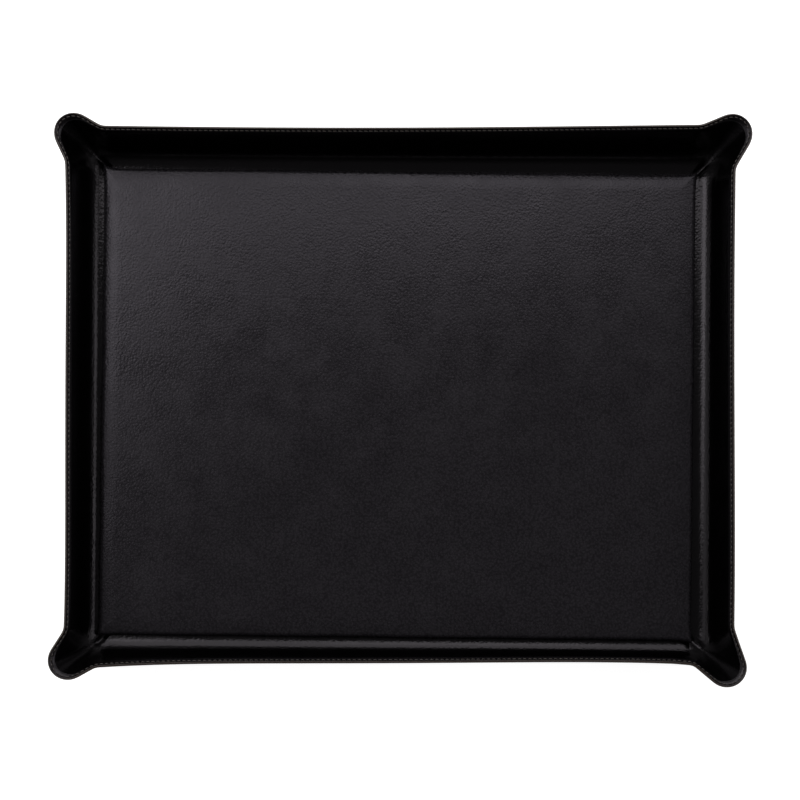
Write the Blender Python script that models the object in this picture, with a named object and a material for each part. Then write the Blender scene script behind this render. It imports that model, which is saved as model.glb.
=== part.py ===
# A leather desk tray: a shallow rectangular tray whose walls run out at each corner
# into a rounded spout, with a flat padded panel laid in its floor.
#
# The inside face of the lining is the one master surface. The lining, the stiffeners
# and the outer leather are layers laid at a distance outside it, so they stay nested
# when a size changes. Metres, +Z up, origin at the centre of the underside.

import math

import bmesh
import bpy
from mathutils import Vector

# Driving dimensions of the tray, measured over the leather at the top edge
TRAY_LENGTH = 0.3886
TRAY_WIDTH = 0.313
TRAY_HEIGHT = 0.0385
WALL_LEAN = math.radians(7.3)  # from the vertical, outwards
COVE_RADIUS = 0.0093  # where the floor turns up into the wall
LONG_WALL_BOW = 0.0016  # the top edge comes in this far at mid length
SHORT_WALL_BOW = 0.0004

# The stitched lip that turns out at the top of the walls
LIP_LENGTH = 0.0032
LIP_LEAN = math.radians(35.0)  # from the vertical, outwards
SPOUT_LIP_LEAN = math.radians(44.0)  # at a spout's tip
LIP_BEND = 0.002  # of the wall, taken up by its turn into the lip

# Corner spouts
SPOUT_RADIUS = 0.0107  # inside the lining, round the tip
SPOUT_INSET = 0.0026  # tip centre, in from the corner of the top edge
SPOUT_FLARE = math.radians(28.5)  # how far the top edge turns out
SPOUT_NECK_RADIUS = 0.006  # where the straight edge meets the flare
SPOUT_RISE = 0.0018  # the tip stands above the walls
RAMP_SHARE = 0.33  # of the straight way from the floor to the tip, where its bend lies
SPOUT_RAMP_SHARE = 0.55  # of the way from a walled corner to a straight ramp
FOLD_CORNER_RADIUS = 0.006  # the wall's fold line, in plan
FLOOR_CORNER_RADIUS = 0.002  # the flat floor, in plan

# Layers, from the underside up
FELT_THICKNESS = 0.0011
OUTER_LEATHER = 0.0008
STIFFENER = 0.0012
LINING_LEATHER = 0.0008
LAYER_GAP = 0.0003
OUTER_EDGE = 0.0006  # both leathers are thinned where they are sewn together
LINING_EDGE = 0.0005

# Stiffeners between the two leathers
STIFFENER_STOP = 0.0045  # below the lip's foot, clear of the seam
LEATHER_CLOSING = 0.0041  # below the lip's foot, where the outer leather turns in
STIFFENER_END = 0.006  # short of the spout
STIFFENER_JOINT = 0.0005  # between the floor board and a wall strip

# Padded panel
PAD_CLEARANCE = 0.0020  # from the panel's side to the start of the cove
PAD_CORNER_RADIUS = 0.0020
PAD_DRAWN_IN = 0.0004  # each side comes in this far at mid length
PAD_LEATHER = 0.0007
PAD_BOARD = 0.0012
PAD_FOAM = 0.0018  # at the middle, thinner where the leather is drawn down
PAD_CROWN = 0.0008  # the middle stands above the edge
PAD_CROWN_REACH = 0.012  # from the edge to the flat middle
PAD_EDGE_RADIUS = 0.0020  # the soft top edge, over the leather
PAD_TURN_IN = 0.012  # leather glued under the panel's board

FELT_MARGIN = 0.004  # in from the start of the cove
FELT_CORNER_RADIUS = 0.006

# How finely the curves are cut
NECK_STEPS = 2
FLANK_STEPS = 3
TIP_STEPS = 14
LONG_WALL_STEPS = 6
SHORT_WALL_STEPS = 4
COVE_ROWS = 5
LIP_ROWS = 3
PANEL_CORNER_STEPS = 4
PANEL_SIDE_STEPS = 4
SOFT_EDGE_STEPS = 3
CROWN_STEPS = 4
MIDDLE_ROW_SHARE = 0.45  # of the straight wall, between the cove and the outer leather's turn
SMALLEST_CORNER_SHARE = 0.3  # of a panel's corner radius, kept inside its outline
SOFT_EDGE_SHARE = 0.85  # of a pad layer's edge, the most that its rounding takes up

# Heights of the layers
OUTER_BOTTOM = FELT_THICKNESS + LAYER_GAP
FLOOR_BOARD_BOTTOM = OUTER_BOTTOM + OUTER_LEATHER + LAYER_GAP
LINING_BOTTOM = FLOOR_BOARD_BOTTOM + STIFFENER + LAYER_GAP
FLOOR = LINING_BOTTOM + LINING_LEATHER
PAD_BOTTOM = FLOOR + LAYER_GAP
PAD_BOARD_BOTTOM = PAD_BOTTOM + PAD_LEATHER + LAYER_GAP
PAD_FOAM_BOTTOM = PAD_BOARD_BOTTOM + PAD_BOARD + LAYER_GAP
PAD_SKIN_BOTTOM = PAD_FOAM_BOTTOM + PAD_FOAM + LAYER_GAP
PAD_TOP = PAD_SKIN_BOTTOM + PAD_LEATHER

# How far outside the lining's inside face the stiffeners begin, and what they add
STIFFENER_DEPTH = LINING_LEATHER + LAYER_GAP
STIFFENED_EXTRA = STIFFENER + LAYER_GAP

# The master surface on a straight wall
EDGE_THICKNESS = LINING_EDGE + LAYER_GAP + OUTER_EDGE
RIM_HALF_X = TRAY_LENGTH / 2 - EDGE_THICKNESS * math.cos(LIP_LEAN)
RIM_HALF_Y = TRAY_WIDTH / 2 - EDGE_THICKNESS * math.cos(LIP_LEAN)
WALL_RISE = TRAY_HEIGHT - LIP_LENGTH * math.cos(LIP_LEAN) - FLOOR
RIM_RUN = WALL_RISE * math.tan(WALL_LEAN) + LIP_LENGTH * math.sin(LIP_LEAN)
FOLD_HALF_X = RIM_HALF_X - RIM_RUN
FOLD_HALF_Y = RIM_HALF_Y - RIM_RUN
COVE_REACH = COVE_RADIUS * math.tan((math.pi / 2 - WALL_LEAN) / 2)
FLOOR_HALF_X = FOLD_HALF_X - COVE_REACH
FLOOR_HALF_Y = FOLD_HALF_Y - COVE_REACH
STRAIGHT_SLANT = WALL_RISE / math.cos(WALL_LEAN) - COVE_REACH - LIP_BEND / 2

# A spout's top edge, from its corner of the top edge inwards
TIP_OUT = SPOUT_RADIUS * math.cos(SPOUT_FLARE) - SPOUT_INSET
TIP_BACK = SPOUT_RADIUS * math.sin(SPOUT_FLARE) + SPOUT_INSET
SPOUT_START = TIP_BACK + TIP_OUT / math.tan(SPOUT_FLARE)
NECK_TANGENT = SPOUT_NECK_RADIUS * math.tan(SPOUT_FLARE / 2)

CORNERS = ((1, 1), (-1, 1), (-1, -1), (1, -1))


class Column:
    """One upright line of the master surface, with the points that shape its curve."""

    def __init__(self, floor, fold, rim, out, spout, stiff):
        self.stiff = stiff
        lean = LIP_LEAN + (SPOUT_LIP_LEAN - LIP_LEAN) * spout
        lip = Vector((out[0] * math.sin(lean), out[1] * math.sin(lean), math.cos(lean)))
        self.floor = Vector((*floor, FLOOR))
        self.rim = Vector((*rim, TRAY_HEIGHT + SPOUT_RISE * spout))
        self.lip_foot = self.rim - lip * LIP_LENGTH
        ramp = self.floor.lerp(self.lip_foot, RAMP_SHARE)
        self.fold = Vector((*fold, FLOOR)).lerp(ramp, SPOUT_RAMP_SHARE * spout)
        along = (self.lip_foot - self.fold).normalized()
        self.cove_top = self.fold + along * COVE_REACH
        self.wall_top = self.lip_foot - along * LIP_BEND / 2

    def curve(self, row):
        """The three points of the curve that this row lies on, and its share of it."""
        if row <= COVE_TOP_ROW:
            return self.floor, self.fold, self.cove_top, row
        if row <= WALL_TOP_ROW:
            middle = (self.cove_top + self.wall_top) / 2
            return self.cove_top, middle, self.wall_top, row - COVE_TOP_ROW
        return self.wall_top, self.lip_foot, self.rim, row - WALL_TOP_ROW

    def point(self, row):
        start, middle, end, share = self.curve(row)
        near = start.lerp(middle, share)
        far = middle.lerp(end, share)
        return near.lerp(far, share)

    def slope(self, row):
        start, middle, end, share = self.curve(row)
        return (middle - start).lerp(end - middle, share)


def spout_side():
    """One side of a spout's top edge, from the straight wall up to the rounded tip.

    Each place has its distance outside the straight edge and back from the corner,
    and the direction that faces out of the tray there.
    """
    places = []
    for step in range(NECK_STEPS + 1):
        angle = SPOUT_FLARE * step / NECK_STEPS
        out = SPOUT_NECK_RADIUS * (1 - math.cos(angle))
        back = SPOUT_START + NECK_TANGENT - SPOUT_NECK_RADIUS * math.sin(angle)
        places.append((out, -back, math.cos(angle), -math.sin(angle)))
    first_out, first_back, *facing = places[-1]
    for step in range(1, FLANK_STEPS):
        share = step / FLANK_STEPS
        out = first_out + (TIP_OUT - first_out) * share
        back = first_back + (-TIP_BACK - first_back) * share
        places.append((out, back, *facing))
    return places


def spout_tip():
    """The spout's rounded end, from one flank round to the other."""
    places = []
    for step in range(TIP_STEPS + 1):
        turn = (math.pi / 2 + 2 * SPOUT_FLARE) * step / TIP_STEPS - SPOUT_FLARE
        facing = (math.cos(turn), math.sin(turn))
        out, back = (SPOUT_RADIUS * part - SPOUT_INSET for part in facing)
        places.append((out, back, *facing))
    return places


def corner_arc(radius, share):
    """A point on a rounded corner, counted from the corner of its two sides."""
    turn = math.pi / 2 * share
    return radius * (math.cos(turn) - 1), radius * (math.sin(turn) - 1)


def running_lengths(places):
    """How far along the top edge each place lies from the first."""
    lengths = [0.0]
    for here, following in zip(places, places[1:]):
        lengths.append(lengths[-1] + math.dist(here[:2], following[:2]))
    return lengths


def corner_columns(sign_x, sign_y):
    """The columns of one spout, anticlockwise seen from above."""
    side = spout_side()
    tip = spout_tip()
    far_side = [(back, out, back_facing, out_facing)
                for out, back, out_facing, back_facing in side[::-1]]
    edge = side + tip + far_side
    lengths = running_lengths(edge)
    side_length = lengths[len(side)]

    # The fold and the floor go straight beside the spout's sides, and round under its tip
    fold_start = -side[0][1] - RIM_RUN
    floor_start = fold_start - COVE_REACH
    folds = []
    floors = []
    for length in lengths[: len(side)]:
        share = length / side_length
        folds.append((0.0, -fold_start + (fold_start - FOLD_CORNER_RADIUS) * share))
        floors.append((0.0, -floor_start + (floor_start - FLOOR_CORNER_RADIUS) * share))
    far_folds = [place[::-1] for place in folds[::-1]]
    far_floors = [place[::-1] for place in floors[::-1]]
    for number in range(len(tip)):
        folds.append(corner_arc(FOLD_CORNER_RADIUS, number / TIP_STEPS))
        floors.append(corner_arc(FLOOR_CORNER_RADIUS, number / TIP_STEPS))
    folds += far_folds
    floors += far_floors

    made = []
    for place, fold, floor, length in zip(edge, folds, floors, lengths):
        corners = (
            (FLOOR_HALF_X, FLOOR_HALF_Y, floor),
            (FOLD_HALF_X, FOLD_HALF_Y, fold),
            (RIM_HALF_X, RIM_HALF_Y, place[:2]),
        )
        points = [(sign_x * (x + out), sign_y * (y + back)) for x, y, (out, back) in corners]
        facing = (sign_x * place[2], sign_y * place[3])
        spout = math.sin(math.pi * length / lengths[-1]) ** 2
        made.append(Column(*points, facing, spout, 0.0))
    if sign_x * sign_y < 0:
        made.reverse()
    return made


def wall_columns(corner):
    """The columns of the straight wall that follows a corner, anticlockwise."""
    sign_x, sign_y = CORNERS[corner]
    runs_along_x = sign_x * sign_y > 0
    half = RIM_HALF_X if runs_along_x else RIM_HALF_Y
    bow = LONG_WALL_BOW if runs_along_x else SHORT_WALL_BOW
    steps = LONG_WALL_STEPS if runs_along_x else SHORT_WALL_STEPS
    facing = (0.0, sign_y) if runs_along_x else (sign_x, 0.0)
    reach = half - SPOUT_START - NECK_TANGENT
    stiff_reach = reach - STIFFENER_END
    made = []
    for step in range(steps + 1):
        place = stiff_reach * (1 - 2 * step / steps)
        drawn_in = bow * (1 - (place / reach) ** 2)
        halves = (
            (FLOOR_HALF_X, FLOOR_HALF_Y, 0.0),
            (FOLD_HALF_X, FOLD_HALF_Y, 0.0),
            (RIM_HALF_X, RIM_HALF_Y, drawn_in),
        )
        points = []
        for half_x, half_y, inward in halves:
            if runs_along_x:
                points.append((sign_x * place, sign_y * (half_y - inward)))
            else:
                points.append((sign_x * (half_x - inward), sign_y * place))
        made.append(Column(*points, facing, 0.0, 1.0))
    return made


# Rows of the master surface: one for the cove, one for the straight wall, one for the lip
COVE_TOP_ROW = 1.0
WALL_TOP_ROW = 2.0
RIM_ROW = 3.0


def wall_row(below_lip):
    """The row of the straight wall that lies this far below the lip's foot."""
    return WALL_TOP_ROW - (below_lip - LIP_BEND / 2) / STRAIGHT_SLANT


STIFFENER_TOP_ROW = wall_row(STIFFENER_STOP)
CLOSING_ROW = wall_row(LEATHER_CLOSING)


def surface_rows():
    rows = [step / COVE_ROWS for step in range(COVE_ROWS + 1)]
    rows.append(COVE_TOP_ROW + (CLOSING_ROW - COVE_TOP_ROW) * MIDDLE_ROW_SHARE)
    rows.append(CLOSING_ROW)
    rows += [WALL_TOP_ROW + step / LIP_ROWS for step in range(LIP_ROWS + 1)]
    return rows


def all_columns():
    """The master surface all the way round, with each wall's columns by its corner."""
    ring = []
    walls = []
    for corner, (sign_x, sign_y) in enumerate(CORNERS):
        ring += corner_columns(sign_x, sign_y)
        wall = wall_columns(corner)
        walls.append((len(ring), len(ring) + len(wall)))
        ring += wall
    return ring, walls


def outward(ring, index, row):
    """The unit direction out of the tray, square to the master surface."""
    before = ring[index - 1].point(row)
    after = ring[(index + 1) % len(ring)].point(row)
    return (after - before).cross(ring[index].slope(row)).normalized()


def layer_point(ring, index, row, depth):
    return ring[index].point(row) + outward(ring, index, row) * depth


def thinned(leather, edge, row):
    """A leather's thickness, which falls up the lip to what is left at its cut edge."""
    return leather + (edge - leather) * max(0.0, row - WALL_TOP_ROW)


def outer_depth(column, row):
    """Where the outer leather begins: out over a stiffener, close to the lining elsewhere."""
    over_floor = max(0.0, COVE_TOP_ROW - row)
    over_wall = column.stiff if row <= CLOSING_ROW else 0.0
    lining = thinned(LINING_LEATHER, LINING_EDGE, row)
    return lining + LAYER_GAP + STIFFENED_EXTRA * max(over_floor, over_wall)


def add_object(name, mesh_builder, material):
    """Turns a bmesh into a named object with flat caps and smooth rounds."""
    mesh = bpy.data.meshes.new(name)
    bmesh.ops.recalc_face_normals(mesh_builder, faces=mesh_builder.faces)
    mesh_builder.to_mesh(mesh)
    mesh_builder.free()
    mesh.shade_smooth()
    mesh.set_sharp_from_angle(angle=math.radians(35.0))
    mesh.materials.append(material)
    made = bpy.data.objects.new(name, mesh)
    bpy.context.scene.collection.objects.link(made)
    return made


def loft(rings):
    """A closed body through rings of points, capped flat at its first and last ring."""
    body = bmesh.new()
    loops = [[body.verts.new(point) for point in ring] for ring in rings]
    for lower, upper in zip(loops, loops[1:]):
        for index in range(len(lower)):
            following = (index + 1) % len(lower)
            quad = (lower[index], lower[following], upper[following], upper[index])
            body.faces.new(quad)
    for cap in (loops[0], loops[-1]):
        bmesh.ops.triangulate(body, faces=[body.faces.new(cap)])
    return body


def curved_plate(near, far):
    """A closed plate between two grids of points of one size."""
    body = bmesh.new()
    rows = len(near)
    columns = len(near[0])
    near_verts = [[body.verts.new(point) for point in line] for line in near]
    far_verts = [[body.verts.new(point) for point in line] for line in far]
    for grid in (near_verts, far_verts):
        for i in range(rows - 1):
            for j in range(columns - 1):
                body.faces.new((grid[i][j], grid[i][j + 1], grid[i + 1][j + 1], grid[i + 1][j]))
    edge = [(0, j) for j in range(columns)]
    edge += [(i, columns - 1) for i in range(1, rows)]
    edge += [(rows - 1, j) for j in range(columns - 2, -1, -1)]
    edge += [(i, 0) for i in range(rows - 2, 0, -1)]
    for (i, j), (k, m) in zip(edge, edge[1:] + edge[:1]):
        body.faces.new((near_verts[i][j], near_verts[k][m], far_verts[k][m], far_verts[i][j]))
    return body


def make_material(name, red, green, blue, roughness):
    material = bpy.data.materials.new(name)
    material.use_nodes = True
    shader = material.node_tree.nodes["Principled BSDF"]
    shader.inputs["Base Color"].default_value = (red, green, blue, 1)
    shader.inputs["Roughness"].default_value = roughness
    shader.inputs["Metallic"].default_value = 0.0
    return material


def make_lining(ring, material):
    rows = surface_rows()
    count = range(len(ring))
    inside = [[ring[i].point(row) for i in count] for row in rows]
    outside = []
    for row in rows:
        depth = thinned(LINING_LEATHER, LINING_EDGE, row)
        outside.append([layer_point(ring, i, row, depth) for i in count])
    return add_object("lining_leather", loft(inside + outside[::-1]), material)


def make_outer(ring, material):
    rows = surface_rows()
    count = range(len(ring))
    inside = []
    outside = []
    for row in rows:
        depths = [outer_depth(ring[i], row) for i in count]
        leather = thinned(OUTER_LEATHER, OUTER_EDGE, row)
        inside.append([layer_point(ring, i, row, depths[i]) for i in count])
        outside.append([layer_point(ring, i, row, depths[i] + leather) for i in count])
    return add_object("outer_leather", loft(inside + outside[::-1]), material)


def make_wall_stiffeners(ring, walls, material):
    """One formed strip inside each wall, with its foot curved under the cove."""
    names = ("back", "left", "front", "right")
    rows = [row for row in surface_rows() if row < STIFFENER_TOP_ROW] + [STIFFENER_TOP_ROW]
    for name, (first, last) in zip(names, walls):
        columns = range(first, last)
        near = [[layer_point(ring, i, row, STIFFENER_DEPTH) for i in columns] for row in rows]
        deep = STIFFENER_DEPTH + STIFFENER
        far = [[layer_point(ring, i, row, deep) for i in columns] for row in rows]
        add_object("wall_stiffener_" + name, curved_plate(near, far), material)


def panel_ring(half_x, half_y, radius, height, drawn_in=0.0):
    """A rounded rectangle of points at one height, anticlockwise, its sides drawn in."""
    points = []
    for corner, (sign_x, sign_y) in enumerate(CORNERS):
        for step in range(PANEL_CORNER_STEPS + 1):
            turn = math.pi / 2 * (corner + step / PANEL_CORNER_STEPS)
            x = sign_x * (half_x - radius) + radius * math.cos(turn)
            y = sign_y * (half_y - radius) + radius * math.sin(turn)
            points.append(Vector((x, y, height)))
        for step in range(1, PANEL_SIDE_STEPS):
            place = 1 - 2 * step / PANEL_SIDE_STEPS
            inward = drawn_in * (1 - place**2)
            if sign_x * sign_y > 0:
                x = sign_x * (half_x - radius) * place
                y = sign_y * (half_y - inward)
            else:
                x = sign_x * (half_x - inward)
                y = sign_y * (half_y - radius) * place
            points.append(Vector((x, y, height)))
    return points


def make_plate(name, outline, bottom, thickness, material, drawn_in=0.0):
    rings = [panel_ring(*outline, z, drawn_in) for z in (bottom, bottom + thickness)]
    return add_object(name, loft(rings), material)


def make_floor_board(material):
    half_x = FLOOR_HALF_X - STIFFENER_JOINT
    half_y = FLOOR_HALF_Y - STIFFENER_JOINT
    outline = (half_x, half_y, FLOOR_CORNER_RADIUS)
    return make_plate("floor_board", outline, FLOOR_BOARD_BOTTOM, STIFFENER, material)


def make_felt(material):
    half_x = FLOOR_HALF_X - FELT_MARGIN
    half_y = FLOOR_HALF_Y - FELT_MARGIN
    outline = (half_x, half_y, FELT_CORNER_RADIUS)
    return make_plate("base_felt", outline, 0.0, FELT_THICKNESS, material)


def pad_outline(inset):
    """Half sizes and corner radius of the panel, this far inside its outline."""
    half_x = FLOOR_HALF_X - PAD_CLEARANCE - inset
    half_y = FLOOR_HALF_Y - PAD_CLEARANCE - inset
    smallest = PAD_CORNER_RADIUS * SMALLEST_CORNER_SHARE
    return half_x, half_y, max(PAD_CORNER_RADIUS - inset, smallest)


def pad_rings(inset, bottom, top):
    """Rings up a pad layer's side, over its soft edge and up its crown."""
    edge_top = top - PAD_CROWN
    soft = min(PAD_EDGE_RADIUS - inset, (edge_top - bottom) * SOFT_EDGE_SHARE)
    rings = [panel_ring(*pad_outline(inset), bottom, PAD_DRAWN_IN)]
    for step in range(SOFT_EDGE_STEPS + 1):
        turn = math.pi / 2 * step / SOFT_EDGE_STEPS
        drawn_in = soft * (1 - math.cos(turn))
        height = edge_top - soft * (1 - math.sin(turn))
        rings.append(panel_ring(*pad_outline(inset + drawn_in), height, PAD_DRAWN_IN))
    for step in range(1, CROWN_STEPS + 1):
        share = step / CROWN_STEPS
        height = top - PAD_CROWN * (1 - share) ** 2
        place = inset + soft + (PAD_CROWN_REACH - inset - soft) * share
        rings.append(panel_ring(*pad_outline(place), height, PAD_DRAWN_IN))
    return rings


def make_pad_board(material):
    outline = pad_outline(PAD_LEATHER + LAYER_GAP)
    return make_plate("pad_board", outline, PAD_BOARD_BOTTOM, PAD_BOARD, material, PAD_DRAWN_IN)


def make_pad_foam(material):
    top = PAD_FOAM_BOTTOM + PAD_FOAM
    rings = pad_rings(PAD_LEATHER + LAYER_GAP, PAD_FOAM_BOTTOM, top)
    return add_object("pad_foam", loft(rings), material)


def make_pad_leather(material):
    """The panel's cover: over the foam, down the sides and turned in under the board."""
    inside_bottom = PAD_BOTTOM + PAD_LEATHER
    outside = pad_rings(0.0, PAD_BOTTOM, PAD_TOP)
    inside = pad_rings(PAD_LEATHER, inside_bottom, PAD_SKIN_BOTTOM)
    turned_in = [
        panel_ring(*pad_outline(PAD_TURN_IN), z, PAD_DRAWN_IN) for z in (PAD_BOTTOM, inside_bottom)
    ]
    return add_object("pad_leather", loft(outside[::-1] + turned_in + inside), material)


def main():
    for old in list(bpy.data.objects):
        bpy.data.objects.remove(old)
    leather = make_material("black calf leather", 0.012, 0.011, 0.013, 0.42)
    panel_leather = make_material("black panel leather", 0.016, 0.015, 0.017, 0.45)
    board = make_material("bonded leather board", 0.20, 0.13, 0.08, 0.8)
    grey_board = make_material("grey board", 0.22, 0.21, 0.20, 0.85)
    foam = make_material("backing foam", 0.07, 0.07, 0.07, 0.9)
    felt = make_material("black felt", 0.01, 0.01, 0.01, 0.95)
    ring, walls = all_columns()
    make_felt(felt)
    make_outer(ring, leather)
    make_floor_board(board)
    make_wall_stiffeners(ring, walls, board)
    make_lining(ring, leather)
    make_pad_leather(panel_leather)
    make_pad_board(grey_board)
    make_pad_foam(foam)


main()
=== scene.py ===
import math

import bpy
import numpy as np
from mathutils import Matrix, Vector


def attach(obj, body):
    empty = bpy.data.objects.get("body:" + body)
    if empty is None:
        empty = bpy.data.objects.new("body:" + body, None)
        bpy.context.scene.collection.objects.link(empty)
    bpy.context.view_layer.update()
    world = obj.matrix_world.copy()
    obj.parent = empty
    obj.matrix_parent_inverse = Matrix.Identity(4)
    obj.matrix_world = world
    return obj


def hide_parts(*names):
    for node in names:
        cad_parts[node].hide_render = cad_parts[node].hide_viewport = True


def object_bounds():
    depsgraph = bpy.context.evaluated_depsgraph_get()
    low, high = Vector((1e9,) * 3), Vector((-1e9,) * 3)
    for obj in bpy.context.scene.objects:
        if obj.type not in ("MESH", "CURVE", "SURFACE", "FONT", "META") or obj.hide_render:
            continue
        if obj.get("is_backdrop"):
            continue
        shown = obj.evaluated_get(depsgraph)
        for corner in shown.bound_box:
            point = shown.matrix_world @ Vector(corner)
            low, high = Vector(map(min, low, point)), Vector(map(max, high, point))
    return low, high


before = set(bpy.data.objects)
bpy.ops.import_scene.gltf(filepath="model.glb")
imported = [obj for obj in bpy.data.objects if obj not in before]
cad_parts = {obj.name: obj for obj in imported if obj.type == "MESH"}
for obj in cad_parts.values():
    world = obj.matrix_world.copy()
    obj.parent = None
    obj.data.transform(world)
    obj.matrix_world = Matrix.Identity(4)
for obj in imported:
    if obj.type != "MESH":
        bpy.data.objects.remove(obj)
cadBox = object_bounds()
mm = 0.001
print("frame loaded:", len(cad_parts), "nodes")


def hexColour(code):  # sRGB hex to linear, opaque
    parts = [int(code[i:i + 2], 16) / 255 for i in (1, 3, 5)]
    return [c / 12.92 if c < 0.04045 else ((c + 0.055) / 1.055) ** 2.4 for c in parts] + [1.0]


def addNode(tree, kind, values=None, links=None, **settings):
    # values go to input sockets, links join an output socket to an input, settings are the node's own
    node = tree.nodes.new(kind)
    for name, value in settings.items():
        setattr(node, name, value)
    for key, value in (values or {}).items():
        node.inputs[key].default_value = value
    for key, source in (links or {}).items():
        tree.links.new(source, node.inputs[key])
    return node


def smoothstep(x):
    x = np.clip(x, 0.0, 1.0)
    return x * x * (3 - 2 * x)


def addPiece(name, points, faces, material, uv=None):
    mesh = bpy.data.meshes.new(name)
    mesh.from_pydata([tuple(p) for p in points], [], faces)
    if uv is not None:
        layer = mesh.uv_layers.new(name="seam")
        index = np.empty(len(mesh.loops), dtype=np.int32)
        mesh.loops.foreach_get("vertex_index", index)
        layer.data.foreach_set("uv", uv[index].astype(np.float32).ravel())
    mesh.materials.append(material)
    mesh.shade_smooth()
    piece = bpy.data.objects.new(name, mesh)
    bpy.context.scene.collection.objects.link(piece)
    return piece


def loftFaces(ringCount, columnCount, closeRings=False):
    # quads between rings of equal length; the first and last ring join when closeRings is set
    faces = []
    last = ringCount if closeRings else ringCount - 1
    for i in range(last):
        k = (i + 1) % ringCount
        for j in range(columnCount):
            m = (j + 1) % columnCount
            faces.append((i * columnCount + j, i * columnCount + m,
                          k * columnCount + m, k * columnCount + j))
    return faces


def closedFaces(ringCount, columnCount):
    # a loft with a cap on its first and its last ring
    firstCap = tuple(reversed(range(columnCount)))
    lastCap = tuple(range((ringCount - 1) * columnCount, ringCount * columnCount))
    return loftFaces(ringCount, columnCount) + [firstCap, lastCap]


# The tray's shell: one surface, the lining's inside face, and everything else laid against it
trayShape = {
    "halfLength": 194.3 * mm,  # to the cut edge
    "halfWidth": 156.5 * mm,
    "height": 38.5 * mm,  # to the lining's own edge
    "floor": 4.8 * mm,  # top of the lining under the pad
    "wallRun": (2.7 * mm, 1.6 * mm),  # how far the steep walls go out along X and Y
    "coveReach": 12.0 * mm,
    "bendLimit": 0.95,  # of the wall, the most that the cove's upper bend may take up
    "lipLength": 3.2 * mm,  # the stitched strip above the stiffener
    "lipLean": 35.0,  # degrees from upright
    "lipBend": 2.0 * mm,
    "edge": 1.4 * mm,  # both leathers at the rim, thinned for the seam
    "spoutLipLean": 58.0,  # the same at a spout's tip
    "foldCorner": 4.0 * mm,  # corner radii of the fold's and the floor's outlines
    "floorCorner": 2.0 * mm,
    "neckRadius": 6.0 * mm,
    "flatCorner": 0.62,  # how far the flat floor reaches out into the corners
    "ramp": 0.50,  # how far a spout's floor leaves the cove for a straight slope
    "rampBend": 0.33,  # of that slope, where its bend lies
    "rise": 1.8 * mm,  # of a spout's tip above the walls
    "baseTurn": -0.50,  # degrees, the base sits a little askew under the rim
    "baseShift": (-0.4 * mm, -0.1 * mm),
    "spacing": 1.2 * mm,
    "neckSteps": 5,
    "flankSteps": 8,
    "tipSteps": 24,
    "wallSteps": 41,
    "rowSteps": (12, 8, 5, 12),  # in the cove, the wall, the turn to the lip and the lip
    # how far the outlines and the spouts' share are blurred along the ring, so that nothing creases
    "blur": {"rim": 1.2 * mm, "fold": 1.5 * mm, "floor": 1.3 * mm, "weight": 2.0 * mm},
}
# The four spouts, each pulled by hand: lip circle, then how far each side flares from its wall
spouts = [
    {"side": (1, 1), "tip": (192.3, 151.5), "radius": 11.9, "flareX": 21.5, "flareY": 30.5},
    {"side": (-1, 1), "tip": (188.8, 152.2), "radius": 11.8, "flareX": 30.0, "flareY": 25.0},
    {"side": (-1, -1), "tip": (192.6, 153.2), "radius": 11.6, "flareX": 29.5, "flareY": 32.0},
    {"side": (1, -1), "tip": (189.3, 157.4), "radius": 11.7, "flareX": 40.5, "flareY": 18.5},
]
# How far each rim line stands outside its nominal line, at five even places from -X or -Y, in mm
rimLines = {
    "back": (0.45, -0.46, -0.64, 0.0, 0.97),
    "front": (1.09, -1.20, -1.40, -1.98, -0.30),
    "left": (1.0, 0.15, 0.08, -0.30, 0.20),
    "right": (-0.25, 0.07, -0.16, -0.15, 0.52),
}
rimWalls = {(1, 1): ("back", "right"), (-1, 1): ("back", "left"),
            (-1, -1): ("front", "left"), (1, -1): ("front", "right")}


def rimOffset(wall, share):  # share runs from -1 to 1 along the wall
    curve = np.polyfit(np.linspace(-1, 1, 5), rimLines[wall], 4)
    return np.polyval(curve, share) * mm


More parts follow.
